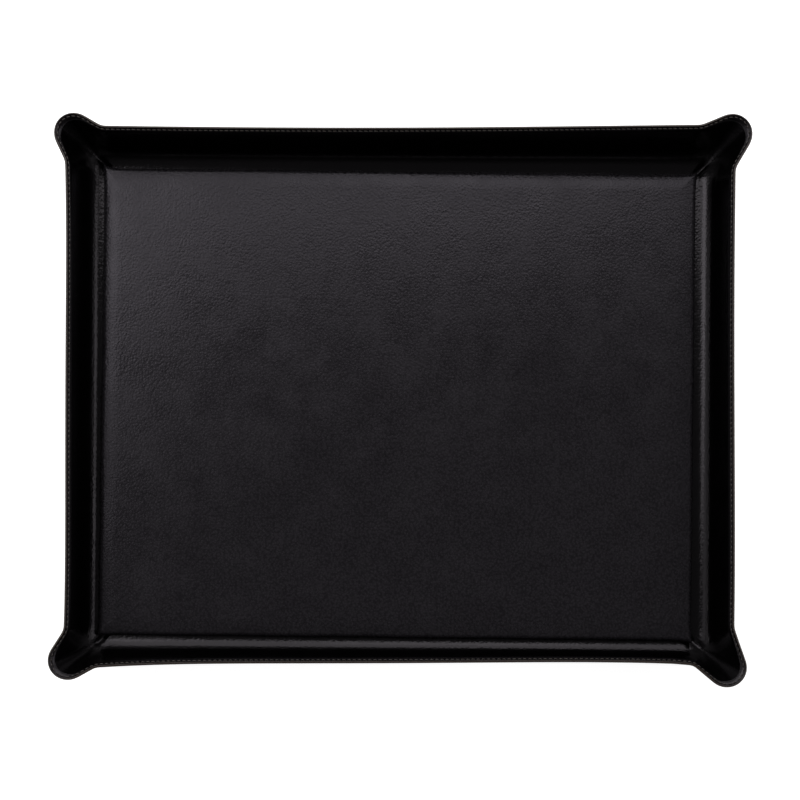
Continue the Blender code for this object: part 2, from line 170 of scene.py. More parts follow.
def spoutPath(spout):
    # the rim round one spout in the first quadrant, from the wall along Y to the wall along X
    t = trayShape
    sx, sy = spout["side"]
    wallX, wallY = rimWalls[spout["side"]]
    halfX = t["halfLength"] + rimOffset(wallY, sy)
    halfY = t["halfWidth"] + rimOffset(wallX, sx)
    cx, cy = (v * mm for v in spout["tip"])
    radius = spout["radius"] * mm
    flareX, flareY = math.radians(spout["flareX"]), math.radians(spout["flareY"])
    rim, fold, floor = [], [], []
    runX = t["halfLength"] - t["edge"] * math.cos(math.radians(t["lipLean"]))
    runX -= t["lipLength"] * math.sin(math.radians(t["lipLean"])) + t["wallRun"][0]
    runY = runX - t["halfLength"] + t["halfWidth"] + t["wallRun"][0] - t["wallRun"][1]
    lowX, lowY = runX - t["coveReach"], runY - t["coveReach"]

    def side(flare, wallAt, tipAlong, tipOut):  # (out, along) places up one flank
        touch = (tipOut + radius * math.cos(flare), tipAlong - radius * math.sin(flare))
        start = touch[1] - (touch[0] - wallAt) / math.tan(flare)
        bend = t["neckRadius"] * math.tan(flare / 2)
        places = []
        for step in range(t["neckSteps"] + 1):
            a = flare * step / t["neckSteps"]
            places.append((wallAt + t["neckRadius"] * (1 - math.cos(a)),
                           start - bend + t["neckRadius"] * math.sin(a)))
        neck = places[-1]
        for step in range(1, t["flankSteps"] + 1):
            share = step / t["flankSteps"]
            places.append((neck[0] + (touch[0] - neck[0]) * share, neck[1] + (touch[1] - neck[1]) * share))
        return places

    right = side(flareY, halfX, cy, cx)
    back = side(flareX, halfY, cx, cy)
    for which, places, corner, low in ((0, right, runY, lowY), (1, back, runX, lowX)):
        steps = [0.0]
        for p, q in zip(places, places[1:]):
            steps.append(steps[-1] + math.dist(p, q))
        part = []
        for place, s in zip(places, steps):
            share = s / steps[-1]
            foldAt = places[0][1] + (corner - t["foldCorner"] - places[0][1]) * share
            floorAt = places[0][1] + (low - t["floorCorner"] - places[0][1]) * share
            part.append((place, foldAt, floorAt))
        if which:
            part.reverse()
            rim += [(p[1], p[0]) for p, _, _ in part]
            fold += [(a, runY) for _, a, _ in part]
            floor += [(b, lowY) for _, _, b in part]
        else:
            rim += [p for p, _, _ in part]
            fold += [(runX, a) for _, a, _ in part]
            floor += [(lowX, b) for _, _, b in part]
            for step in range(1, t["tipSteps"]):
                share = step / t["tipSteps"]
                a = (math.pi / 2 + flareX + flareY) * share - flareY
                rim.append((cx + radius * math.cos(a), cy + radius * math.sin(a)))
                b = math.pi / 2 * share
                for line, cornerX, cornerY, r in ((fold, runX, runY, t["foldCorner"]),
                                                 (floor, lowX, lowY, t["floorCorner"])):
                    line.append((cornerX - r + r * math.cos(b), cornerY - r + r * math.sin(b)))
    return [np.array(line) for line in (rim, fold, floor)]


def ringOutlines():
    # rim, fold and floor outlines all the way round, anticlockwise, with how much each place is spout
    t = trayShape
    rims, folds, floors, weights = [], [], [], []

    def store(*lines):
        for kept, line in zip((rims, folds, floors, weights), lines):
            kept.append(line)

    paths = []
    for spout in spouts:
        sx, sy = spout["side"]
        lines = [line * (sx, sy) for line in spoutPath(spout)]
        if sx * sy < 0:
            lines = [line[::-1] for line in lines]
        paths.append(lines)
    for number, lines in enumerate(paths):
        rim, fold, floor = lines
        along = np.concatenate([[0], np.cumsum(np.linalg.norm(np.diff(rim, axis=0), axis=1))])
        weight = np.sin(np.pi * along / along[-1]) ** 2
        store(rim, fold, floor, weight)
        following = paths[(number + 1) % 4]
        share = np.linspace(0, 1, t["wallSteps"] + 1)[1:-1, None]
        wall = ("back", "left", "front", "right")[number]
        straight = [a[-1] + (b[0] - a[-1]) * share for a, b in zip(lines, following)]
        runs = 0 if wall in ("back", "front") else 1
        reach = abs(rim[-1][runs])
        place = straight[0][:, runs] / reach
        sign = 1 if wall in ("back", "right") else -1
        half = t["halfWidth"] if runs == 0 else t["halfLength"]
        straight[0][:, 1 - runs] = sign * (half + rimOffset(wall, np.clip(place, -1, 1)))
        store(*straight, np.zeros(len(share)))
    rim, fold, floor = np.concatenate(rims), np.concatenate(folds), np.concatenate(floors)
    weight = np.concatenate(weights)
    loop = np.concatenate([rim, rim[:1]])
    along = np.concatenate([[0], np.cumsum(np.linalg.norm(np.diff(loop, axis=0), axis=1))])
    count = int(along[-1] / t["spacing"])
    at = np.arange(count) * along[-1] / count

    def even(values):
        closed = np.concatenate([values, values[:1]])
        if closed.ndim == 1:
            return np.interp(at, along, closed)
        return np.stack([np.interp(at, along, closed[:, k]) for k in range(closed.shape[1])], axis=1)

    def soften(values, reach):
        width = reach / t["spacing"]
        steps = np.arange(-int(4 * width) - 1, int(4 * width) + 2)
        kernel = np.exp(-0.5 * (steps / width) ** 2)
        kernel /= kernel.sum()
        return sum(k * np.roll(values, s, axis=0) for s, k in zip(steps, kernel))

    rim, fold, floor, weight = even(rim), even(fold), even(floor), even(weight)
    blur = t["blur"]
    rim, fold, floor = soften(rim, blur["rim"]), soften(fold, blur["fold"]), soften(floor, blur["floor"])
    weight = soften(weight, blur["weight"])
    turn = math.radians(t["baseTurn"])
    spin = np.array([[math.cos(turn), math.sin(turn)], [-math.sin(turn), math.cos(turn)]])
    floor = fold + (floor - fold) * (1 - t["flatCorner"] * weight)[:, None]
    fold, floor = fold @ spin + t["baseShift"], floor @ spin + t["baseShift"]
    return rim, fold, floor, weight, at


def flat(points, height):
    return np.column_stack([points, np.broadcast_to(height, len(points))])


def unit(vectors):
    return vectors / np.linalg.norm(vectors, axis=-1, keepdims=True)


def bend(start, middle, end, share):  # a quadratic curve
    return start * (1 - share) ** 2 + middle * 2 * share * (1 - share) + end * share ** 2


def masterSurface():
    t = trayShape
    rimOut, fold, floor, weight, along = ringOutlines()
    tangent = unit(np.roll(rimOut, -1, axis=0) - np.roll(rimOut, 1, axis=0))
    out = np.column_stack([tangent[:, 1], -tangent[:, 0]])
    lean = np.radians(t["lipLean"] + (t["spoutLipLean"] - t["lipLean"]) * weight)
    lip = np.column_stack([out * np.sin(lean)[:, None], np.cos(lean)])
    across = np.column_stack([out * np.cos(lean)[:, None], -np.sin(lean)])
    top = flat(rimOut - out * np.cos(lean)[:, None] * t["edge"], t["height"] + t["rise"] * weight)
    foot = top - lip * t["lipLength"]
    start = flat(floor, t["floor"])
    turn = flat(fold, t["floor"])
    ramp = start + (foot - start) * t["rampBend"]
    turn = turn + (ramp - turn) * (weight * t["ramp"])[:, None]
    up = unit(foot - turn)
    rise = np.linalg.norm(foot - turn, axis=1, keepdims=True)
    waist = turn + up * np.minimum(2 * t["coveReach"], (rise - t["lipBend"]) * t["bendLimit"])
    below = foot - up * t["lipBend"]
    mids = [(turn + waist) / 2, (waist + below) / 2, (below + foot) / 2]
    rows, marks = [], []
    bends = ((start, turn, mids[0]), (mids[0], waist, mids[1]), (mids[1], below, mids[2]), (mids[2], foot, top))
    for part, (curve, steps) in enumerate(zip(bends, t["rowSteps"])):
        for step in range(steps + (part == len(bends) - 1)):
            rows.append(bend(*curve, step / steps))
            marks.append(part + step / steps)
    return np.array(rows), np.array(marks), weight, along, lip, across


surface, marks, spoutWeight, rimAlong, lipWay, acrossWay = masterSurface()
rowCount, columnCount = surface.shape[:2]
goingRound = np.roll(surface, -1, axis=1) - np.roll(surface, 1, axis=1)
goingUp = np.gradient(surface, axis=0)
outward = unit(np.cross(goingRound, goingUp))
climb = np.linalg.norm(np.diff(surface, axis=0), axis=2)
belowRim = np.concatenate([np.cumsum(climb[::-1], axis=0)[::-1], np.zeros((1, columnCount))])
print("tray surface:", rowCount, "rows,", columnCount, "columns")

seamSettings = {
    "line": 1.4 * mm,  # thread line, below the cut edge
    "groove": 0.16 * mm,
    "grooveWidth": 0.55 * mm,
    "inside": 0.02 * mm,  # how far out of the lining's face each row of thread lies
    "outside": 1.55 * mm,
}
fromLine = (belowRim - seamSettings["line"]) / seamSettings["grooveWidth"]
grooveDepth = seamSettings["groove"] * np.exp(-fromLine ** 2)

# The two leathers, both thinned towards the seam
layerShape = {
    "lining": 0.8 * mm,
    "thinned": 0.3 * mm,
    "thinReach": 4 * mm,
    "gap": 0.02 * mm,
    "overBoard": 3.4 * mm,  # the outer leather's outside, over a board
    "overLining": 1.9 * mm,  # the same straight over the lining
    "seamStart": 1.5 * mm,
    "seamReach": 6.0 * mm,
    "boardFade": 14,  # how fast the boards give way to a spout
    "floorRing": (0.93, 0.92, 1),  # a smaller ring, where the floor is closed flat
}


def seamUv(rows, columns, down):
    # u runs round the rim and v down from the cut edge, both in metres
    return np.stack([np.broadcast_to(rimAlong, (rows, columns)), down], axis=2).reshape(-1, 2)


def liningThickness():
    s = layerShape
    return s["lining"] - s["thinned"] * smoothstep(1 - belowRim / s["thinReach"])


def makeLayer(name, near, far, material):
    # a leather between its near and its far face
    centre = np.array([*trayShape["baseShift"], 0])
    nearRing, farRing = ((face[0] - centre) * layerShape["floorRing"] + centre for face in (near, far))
    rings = np.concatenate([nearRing[None], near, far[::-1], farRing[None]])
    down = np.concatenate([belowRim[:1], belowRim, belowRim[::-1], belowRim[:1]])
    return addPiece(name, rings.reshape(-1, 3), closedFaces(len(rings), columnCount), material,
                    seamUv(len(rings), columnCount, down))


def makeLining(material):
    near = surface + outward * grooveDepth[..., None]
    far = surface + outward * liningThickness()[..., None]
    return makeLayer("liningLeather", near, far, material)


def makeOuter(material):
    s = layerShape
    onBoard = 1 - smoothstep(spoutWeight * s["boardFade"])
    near = liningThickness() + s["gap"]
    atFloor = smoothstep(1 - marks)[:, None]
    body = s["overLining"] + (s["overBoard"] - s["overLining"]) * np.maximum(atFloor, onBoard[None])
    seam = smoothstep(1 - (belowRim - s["seamStart"]) / s["seamReach"])
    far = body + (trayShape["edge"] - body) * seam
    inside = surface + outward * near[..., None]
    outside = surface + outward * (far - grooveDepth)[..., None]
    return makeLayer("outerLeather", inside, outside, material)


# The painted bead over the two cut edges
beadShape = {
    "half": 0.74 * mm,
    "height": 0.30 * mm,
    "sunk": 0.04 * mm,
    "steps": 8,
    "foot": 0.9,  # of the edge's thickness, where the bead's underside lies
    "depth": 0.2 * mm,
}


def makeEdge(material):
    s, edge = beadShape, trayShape["edge"]
    top = surface[-1] + acrossWay * edge / 2
    rings = []
    for step in range(s["steps"] + 1):
        a = math.pi * step / s["steps"]
        rings.append(top - acrossWay * (s["half"] * math.cos(a)) + lipWay * (s["height"] * math.sin(a) - s["sunk"]))
    for shift in (0.5, -0.5):
        rings.append(top + acrossWay * shift * edge * s["foot"] - lipWay * s["depth"])
    return addPiece("paintedEdge", np.concatenate(rings), loftFaces(len(rings), columnCount, True), material)


# Chrome-tanned calf, drum-dyed black and pressed with a fine grain: the satin finish shows soft
# reflections broken up by pebbles, and hardly any colour of its own. The real pebbles are 0.5 to
# 0.8 mm wide, drawn at 1.2 mm here so that they show.
# The wall leather's base is painted near black and the pad's a dark grey: one black calf made as a shaded and a lit
# copy, with painted shade on the walls and round the pad and painted light on the pad
leatherSettings = {
    "wall": {"name": "calf leather, black, fine pressed grain, satin", "base": "#020202", "worn": "#040304",
             "gloss": "#fef6ff", "shine": 0.31, "rough": 0.18, "grain": 1.2 * mm, "grainDepth": 0.08 * mm,
             "ripple": 14 * mm, "rippleDepth": 0.06 * mm, "cloud": 16 * mm, "uneven": 0.03},
    "pad": {"name": "calf leather, black, soft fine grain, satin", "base": "#201e21", "worn": "#252326",
            "gloss": "#faf2ff", "shine": 0.30, "rough": 0.26, "grain": 1.2 * mm, "grainDepth": 0.085 * mm,
            "ripple": 22 * mm, "rippleDepth": 0.14 * mm, "cloud": 18 * mm, "uneven": 0.05},
}
# Painted shade and highlight on the grain: the pebbles' middles are painted lighter and the creases between them
# darker, by distance from a pebble's middle, then shade
paintedGrainShade = {"From Min": 0.1, "From Max": 0.6, "To Min": 1.35, "To Max": 0.55}
cloudRange = {"From Min": 0.3, "From Max": 0.7}


def makeLeather(s):
    material = bpy.data.materials.new(s["name"])
    material.use_nodes = True
    tree = material.node_tree
    shader = tree.nodes["Principled BSDF"]
    place = addNode(tree, "ShaderNodeTexCoord").outputs["Object"]
    # pebbles of the grain, low domes with soft creases between them
    pebble = addNode(tree, "ShaderNodeTexVoronoi", {"Scale": 1 / s["grain"], "Smoothness": 1.0},
                     {"Vector": place}, feature="SMOOTH_F1")
    # the hide's own slow unevenness, in height and in how far the finish is rubbed
    soft = addNode(tree, "ShaderNodeTexNoise", {"Scale": 1 / s["ripple"], "Detail": 2.0}, {"Vector": place})
    cloud = addNode(tree, "ShaderNodeTexNoise", {"Scale": 1 / s["cloud"], "Detail": 3.0}, {"Vector": place})
    height = addNode(tree, "ShaderNodeMath", {1: -s["grainDepth"]}, {0: pebble.outputs["Distance"]},
                     operation="MULTIPLY")
    height = addNode(tree, "ShaderNodeMath", {1: s["rippleDepth"]},
                     {0: soft.outputs["Fac"], 2: height.outputs[0]}, operation="MULTIPLY_ADD")
    bump = addNode(tree, "ShaderNodeBump", {"Strength": 1.0, "Distance": 1.0}, {"Height": height.outputs[0]})
    tree.links.new(bump.outputs["Normal"], shader.inputs["Normal"])
    colour = addNode(tree, "ShaderNodeMix", {6: hexColour(s["base"]), 7: hexColour(s["worn"])},
                     {0: cloud.outputs["Fac"]}, data_type="RGBA")
    # painted shade in the grain's creases and painted highlight on its pebbles
    crease = addNode(tree, "ShaderNodeMapRange", paintedGrainShade, {"Value": pebble.outputs["Distance"]})
    shaded = addNode(tree, "ShaderNodeVectorMath", links={0: colour.outputs[2], "Scale": crease.outputs["Result"]},
                     operation="SCALE")
    tree.links.new(shaded.outputs[0], shader.inputs["Base Color"])
    roughRange = {**cloudRange, "To Min": s["rough"] - s["uneven"], "To Max": s["rough"] + s["uneven"]}
    rough = addNode(tree, "ShaderNodeMapRange", roughRange, {"Value": cloud.outputs["Fac"]})
    tree.links.new(rough.outputs["Result"], shader.inputs["Roughness"])
    shader.inputs["Specular Tint"].default_value = hexColour(s["gloss"])
    shader.inputs["Specular IOR Level"].default_value = s["shine"]
    return material


fibreShades = (0.8, 1.2)  # of a plain finish's colour, in its darkest and its lightest fibres


def plainFinish(name, colour, rough, grain, depth):
    # a fibrous or painted finish with a fine uneven surface
    material = bpy.data.materials.new(name)
    material.use_nodes = True
    tree = material.node_tree
    shader = tree.nodes["Principled BSDF"]
    place = addNode(tree, "ShaderNodeTexCoord").outputs["Object"]
    fibre = addNode(tree, "ShaderNodeTexNoise", {"Scale": 1 / grain, "Detail": 4.0}, {"Vector": place})
    base = hexColour(colour)
    dark, light = ([min(1, c * shade) for c in base[:3]] + [1] for shade in fibreShades)
    mix = addNode(tree, "ShaderNodeMix", {6: dark, 7: light}, {0: fibre.outputs["Fac"]}, data_type="RGBA")
    tree.links.new(mix.outputs[2], shader.inputs["Base Color"])
    bump = addNode(tree, "ShaderNodeBump", {"Strength": 1.0, "Distance": depth}, {"Height": fibre.outputs["Fac"]})
    tree.links.new(bump.outputs["Normal"], shader.inputs["Normal"])
    shader.inputs["Roughness"].default_value = rough
    return material


wallLeather = makeLeather(leatherSettings["wall"])
padLeather = makeLeather(leatherSettings["pad"])
edgePaint = plainFinish("edge paint, brown-black, semi-gloss", "#33271f", 0.38, 1.2 * mm, 0.05 * mm)
# painted highlight: the thread's colour is lighter than a near-black thread, standing in for the glints along its
# stitches
threadFinish = plainFinish("waxed polyester thread, brown-black", "#38322e", 0.24, 0.3 * mm, 0.03 * mm)
feltFinish = plainFinish("wool felt, black", "#0c0b0c", 0.95, 0.6 * mm, 0.2 * mm)
boardFinish = plainFinish("bonded leather board, fibrous", "#7a6048", 0.85, 0.8 * mm, 0.05 * mm)
greyBoardFinish = plainFinish("grey board, pressed pulp", "#827f7b", 0.88, 0.8 * mm, 0.05 * mm)
foamFinish = plainFinish("backing foam, fine open cells", "#4a4a4a", 0.9, 0.5 * mm, 0.1 * mm)
print("finishes made")

lining = makeLining(wallLeather)
outer = makeOuter(wallLeather)
edge = makeEdge(edgePaint)
print("tray leathers made:", len(lining.data.polygons), "and", len(outer.data.polygons), "faces")

# Stitches along the lip, thread on both leathers
stitchSettings = {
    "pitch": 3.0 * mm,
    "length": 2.15 * mm,
    "thread": 0.72 * mm,
    "bulge": 0.34 * mm,
    "slant": 5.0,  # degrees, a lock stitch lies slightly askew
    "roundness": 0.62,  # under 1, a stitch rises steeply from its holes
    "dive": 0.22 * mm,  # its ends go this far into the leather
    "endThickness": 0.45,  # of the thread's, where it enters its holes
    "pathPoints": 7,
    "ringPoints": 7,
}


def lineOnShell(distance, offset):
    # a ring at this distance below the cut edge, this far out of the lining's face
    places, normals = [], []
    for j in range(columnCount):
        down = belowRim[::-1, j]
        places.append([np.interp(distance, down, surface[::-1, j, k]) for k in range(3)])
        normals.append([np.interp(distance, down, outward[::-1, j, k]) for k in range(3)])
    places, normals = np.array(places), unit(np.array(normals))
    return places + normals * offset, normals


def stitchTree(s):
    tree = bpy.data.node_groups.new("saddle of stitches", "GeometryNodeTree")
    socket = tree.interface.new_socket
    socket("Geometry", in_out="INPUT", socket_type="NodeSocketGeometry")
    for name in ("Count", "Length", "Thread", "Bulge", "Slant"):
        kind = "NodeSocketInt" if name == "Count" else "NodeSocketFloat"
        socket(name, in_out="INPUT", socket_type=kind)
    socket("Finish", in_out="INPUT", socket_type="NodeSocketMaterial")
    socket("Geometry", in_out="OUTPUT", socket_type="NodeSocketGeometry")
    given = addNode(tree, "NodeGroupInput").outputs
    # one stitch: a short thread that bows up in the middle and dives at both ends
    half = addNode(tree, "ShaderNodeMath", {1: 0.5}, {0: given["Length"]}, operation="MULTIPLY")
    start = addNode(tree, "ShaderNodeMath", {1: -1.0}, {0: half.outputs[0]}, operation="MULTIPLY")
    first = addNode(tree, "ShaderNodeCombineXYZ", links={"X": start.outputs[0]})
    last = addNode(tree, "ShaderNodeCombineXYZ", links={"X": half.outputs[0]})
    line = addNode(tree, "GeometryNodeCurvePrimitiveLine",
                   links={"Start": first.outputs[0], "End": last.outputs[0]})
    fine = addNode(tree, "GeometryNodeResampleCurve", {"Count": s["pathPoints"]}, {"Curve": line.outputs[0]})
    share = addNode(tree, "GeometryNodeSplineParameter")
    arch = addNode(tree, "ShaderNodeMath", {1: math.pi}, {0: share.outputs["Factor"]}, operation="MULTIPLY")
    arch = addNode(tree, "ShaderNodeMath", links={0: arch.outputs[0]}, operation="SINE")
    lift = addNode(tree, "ShaderNodeMath", {1: s["roundness"]}, {0: arch.outputs[0]}, operation="POWER")
    high = addNode(tree, "ShaderNodeMath", {2: -s["dive"]}, {0: lift.outputs[0], 1: given["Bulge"]},
                   operation="MULTIPLY_ADD")
    lifted = addNode(tree, "ShaderNodeCombineXYZ", links={"Z": high.outputs[0]})
    shaped = addNode(tree, "GeometryNodeSetPosition",
                     links={"Geometry": fine.outputs[0], "Offset": lifted.outputs[0]})
    thick = addNode(tree, "ShaderNodeMath", {1: 1 - s["endThickness"], 2: s["endThickness"]},
                    {0: lift.outputs[0]}, operation="MULTIPLY_ADD")
    radius = addNode(tree, "ShaderNodeMath", {1: 0.5}, {0: given["Thread"]}, operation="MULTIPLY")
    ring = addNode(tree, "GeometryNodeCurvePrimitiveCircle", {"Resolution": s["ringPoints"]},
                   {"Radius": radius.outputs[0]})
    tube = addNode(tree, "GeometryNodeCurveToMesh", {"Fill Caps": True},
                   {"Curve": shaped.outputs[0], "Profile Curve": ring.outputs[0], "Scale": thick.outputs[0]})
    # laid end to end along the seam
    path = addNode(tree, "GeometryNodeMeshToCurve", links={"Mesh": given["Geometry"]})
    spaced = addNode(tree, "GeometryNodeResampleCurve", links={"Curve": path.outputs[0], "Count": given["Count"]})
    along = addNode(tree, "GeometryNodeInputTangent")
    face = addNode(tree, "GeometryNodeInputNamedAttribute", {"Name": "faceOut"}, data_type="FLOAT_VECTOR")
    way = addNode(tree, "FunctionNodeAlignRotationToVector", links={"Vector": along.outputs[0]}, axis="X")
    way = addNode(tree, "FunctionNodeAlignRotationToVector",
                  links={"Rotation": way.outputs[0], "Vector": face.outputs[0]}, axis="Z", pivot_axis="X")
    slant = addNode(tree, "ShaderNodeCombineXYZ", links={"Z": given["Slant"]})
    askew = addNode(tree, "FunctionNodeEulerToRotation", links={0: slant.outputs[0]})
    turned = addNode(tree, "FunctionNodeRotateRotation", links={0: way.outputs[0], 1: askew.outputs[0]},
                     rotation_space="LOCAL")
    placed = addNode(tree, "GeometryNodeInstanceOnPoints",
                     links={"Points": spaced.outputs[0], "Instance": tube.outputs[0], "Rotation": turned.outputs[0]})
    real = addNode(tree, "GeometryNodeRealizeInstances", links={0: placed.outputs[0]})
    done = addNode(tree, "GeometryNodeSetMaterial", links={0: real.outputs[0], "Material": given["Finish"]})
    addNode(tree, "NodeGroupOutput", links={0: done.outputs[0]})
    return tree


def makeStitches(name, distance, offset, facing, s, tree):
    places, normals = lineOnShell(distance, offset)
    mesh = bpy.data.meshes.new(name + "Path")
    count = len(places)
    mesh.from_pydata([tuple(p) for p in places], [(i, (i + 1) % count) for i in range(count)], [])
    out = mesh.attributes.new("faceOut", "FLOAT_VECTOR", "POINT")
    out.data.foreach_set("vector", (normals * facing).astype(np.float32).ravel())
    guide = bpy.data.objects.new(name + "Path", mesh)
    bpy.context.scene.collection.objects.link(guide)
    modifier = guide.modifiers.new("stitches", "NODES")
    modifier.node_group = tree
    length = np.linalg.norm(np.diff(np.concatenate([places, places[:1]]), axis=0), axis=1).sum()
    values = {"Count": round(length / s["pitch"]), "Length": s["length"], "Thread": s["thread"],
              "Bulge": s["bulge"], "Slant": math.radians(s["slant"]) * facing, "Finish": threadFinish}
    for item in tree.interface.items_tree:
        if item.item_type == "SOCKET" and item.in_out == "INPUT" and item.name in values:
            modifier[item.identifier] = values[item.name]
    seen = guide.evaluated_get(bpy.context.evaluated_depsgraph_get())
    made = bpy.data.objects.new(name, bpy.data.meshes.new_from_object(seen))
    bpy.context.scene.collection.objects.link(made)
    bpy.data.objects.remove(guide)
    made.data.shade_smooth()
    print(name, "made:", values["Count"], "stitches")
    return made


stitching = stitchTree(stitchSettings)
insideStitches, outsideStitches = (
    makeStitches(side + "Stitches", seamSettings["line"], seamSettings[side], facing, stitchSettings, stitching)
    for side, facing in (("inside", -1), ("outside", 1)))

# Leather boards between the two leathers: one in the floor and one in each wall
boardShape = {"near": 1.1 * mm, "far": 2.3 * mm, "stop": 8.0 * mm, "fromSpout": 6 * mm, "bottom": 2.5 * mm,
              "thick": 1.2 * mm, "halfX": 178.6 * mm, "halfY": 140.8 * mm, "corner": 2 * mm,
              "spoutTrace": 1e-4, "everyRow": 2, "everyColumn": 4}


def makeWallBoards(material):
    s = boardShape
    straight = spoutWeight < s["spoutTrace"]
    trim = int(s["fromSpout"] / trayShape["spacing"])
    for shift in range(-trim, trim + 1):
        straight = straight & (np.roll(spoutWeight, shift) < s["spoutTrace"])
    first = int(np.argmax(~straight))
    order = (np.arange(columnCount) + first) % columnCount
    runs = np.split(order, np.flatnonzero(np.diff(straight[order].astype(int))) + 1)
    made = []
    for run in [r for r in runs if straight[r[0]]]:
        rows = np.flatnonzero(belowRim[:, run].min(axis=1) > s["stop"])[::s["everyRow"]]
        columns = run[::s["everyColumn"]]
        grid = surface[np.ix_(rows, columns)]
        way = outward[np.ix_(rows, columns)]
        near, far = grid + way * s["near"], grid + way * s["far"]
        middle = grid.mean(axis=(0, 1))
        if abs(middle[0]) > trayShape["halfLength"] / 2:
            side = "right" if middle[0] > 0 else "left"
        else:
            side = "back" if middle[1] > 0 else "front"
        # round the plate: up its near face and down its far one, a ring for each column
        rings = np.concatenate([near, far[::-1]]).transpose(1, 0, 2)
        made.append((side, addPiece("wallBoard" + side.capitalize(), rings.reshape(-1, 3),
                                    closedFaces(*rings.shape[:2]), material)))
    return made


def roundedRing(halfX, halfY, corner, height, steps=12):
    points = []
    for number, (sx, sy) in enumerate(((1, 1), (-1, 1), (-1, -1), (1, -1))):
        for step in range(steps + 1):
            a = math.pi / 2 * (number + step / steps)
            points.append((sx * (halfX - corner) + corner * math.cos(a),
                           sy * (halfY - corner) + corner * math.sin(a), height))
    return np.array(points)


def makePlate(name, rings, turn, centre, material):
    a = math.radians(turn)
    rings = np.array(rings)
    spun = rings.reshape(-1, 3).copy()
    spun[:, :2] = spun[:, :2] @ np.array([[math.cos(a), math.sin(a)], [-math.sin(a), math.cos(a)]]) + centre
    return addPiece(name, spun, closedFaces(*rings.shape[:2]), material)


wallBoards = makeWallBoards(boardFinish)
floorRings = [roundedRing(boardShape["halfX"], boardShape["halfY"], boardShape["corner"], height)
              for height in (boardShape["bottom"], boardShape["bottom"] + boardShape["thick"])]
floorBoard = makePlate("floorBoard", floorRings, trayShape["baseTurn"], trayShape["baseShift"], boardFinish)
print("boards made:", ", ".join(side for side, piece in wallBoards), "and floor")

# The padded panel: thin foam on a board, covered in leather that is drawn to a point at each corner
padShape = {
    "halfX": 180.0 * mm,
    "halfY": 142.0 * mm,
    "centre": (-2.2 * mm, -0.4 * mm),
    "turn": -0.62,  # degrees
    "bottom": 5.25 * mm,
    "top": 10.4 * mm,
    "crown": 0.42 * mm,
    "crownReach": 12 * mm,
    # how much of the crown falls away at each side, at five even places from -X or -Y
    "crowns": {"back": (0.5, 0.1, 0.5, 1.5, 2.0), "front": (2.0, 1.8, 1.4, 1.0, 0.6),
               "left": (0.2, 0.6, 1.1, 1.5, 2.2), "right": (0.3, 0.3, 0.4, 0.8, 1.6)},
    "edgeRadius": 3.6 * mm,  # of the top edge, less where the side is too low for it
    "leastRadius": 0.2 * mm,
    "upright": 0.1 * mm,  # of the side, between its two rounded edges
    "underRadius": 1.6 * mm,
    "underAngles": (0.0, 0.52, 1.05, 1.57),
    "edgeSteps": 8,
    "crownSteps": 12,
    "corner": 1.0 * mm,
    "cornerSteps": 8,
    "columns": 900,
    "crowding": 0.55,  # how strongly the columns crowd towards the corners
    "cornerShare": 0.018,  # of a side's columns, spent on a corner's arc
    "fade": 4 * mm,  # the unevenness dies away this far in
    "drawnIn": 0.45 * mm,
    "drawnReach": 14 * mm,  # from a corner to where the side is drawn in fully
    "wander": 0.16 * mm,
    "waves": 10,
    "seed": 5,
    # each corner is gathered into a little point, this far out in X and Y, mm
    "points": {(1, 1): (1.5, 1.2), (-1, 1): (0.5, 6.0), (-1, -1): (0.6, 0.2), (1, -1): (0.8, 3.0)},
    "pointReach": 2.2 * mm,
    "pointLift": 0.9 * mm,
    "ridge": 0.15 * mm,  # of leather gathered on the diagonal
    "ridgeWidth": 0.9 * mm,
    "ridgeReach": 5 * mm,
    "skin": 0.7 * mm,
    "gap": 0.3 * mm,
    "board": 1.2 * mm,
    "turnIn": 12 * mm,
}


def padOutline(inset, s):
    # the panel's outline this far inside its side
    halfX, halfY = s["halfX"] - inset, s["halfY"] - inset
    radius = max(s["corner"] * 0.6, s["corner"] - inset * 0.2)
    corners, share = [], []
    for number, (sx, sy) in enumerate(((1, 1), (-1, 1), (-1, -1), (1, -1))):
        for step in range(s["cornerSteps"] + 1):
            a = math.pi / 2 * (number + step / s["cornerSteps"])
            corners.append((sx * (halfX - radius) + radius * math.cos(a),
                            sy * (halfY - radius) + radius * math.sin(a)))
            share.append(number + s["cornerShare"] * (step / s["cornerSteps"] - 0.5))
    corners, share = np.array(corners + corners[:1]), np.array(share + [4 - s["cornerShare"] / 2])
    even = np.arange(s["columns"]) / s["columns"] * 4
    crowded = np.floor(even) + 0.5 - 0.5 * np.cos(np.pi * (even % 1))
    part = s["crowding"] * crowded + (1 - s["crowding"]) * even - s["cornerShare"] / 2
    return np.stack([np.interp(part, share, corners[:, k]) for k in range(2)], axis=1)


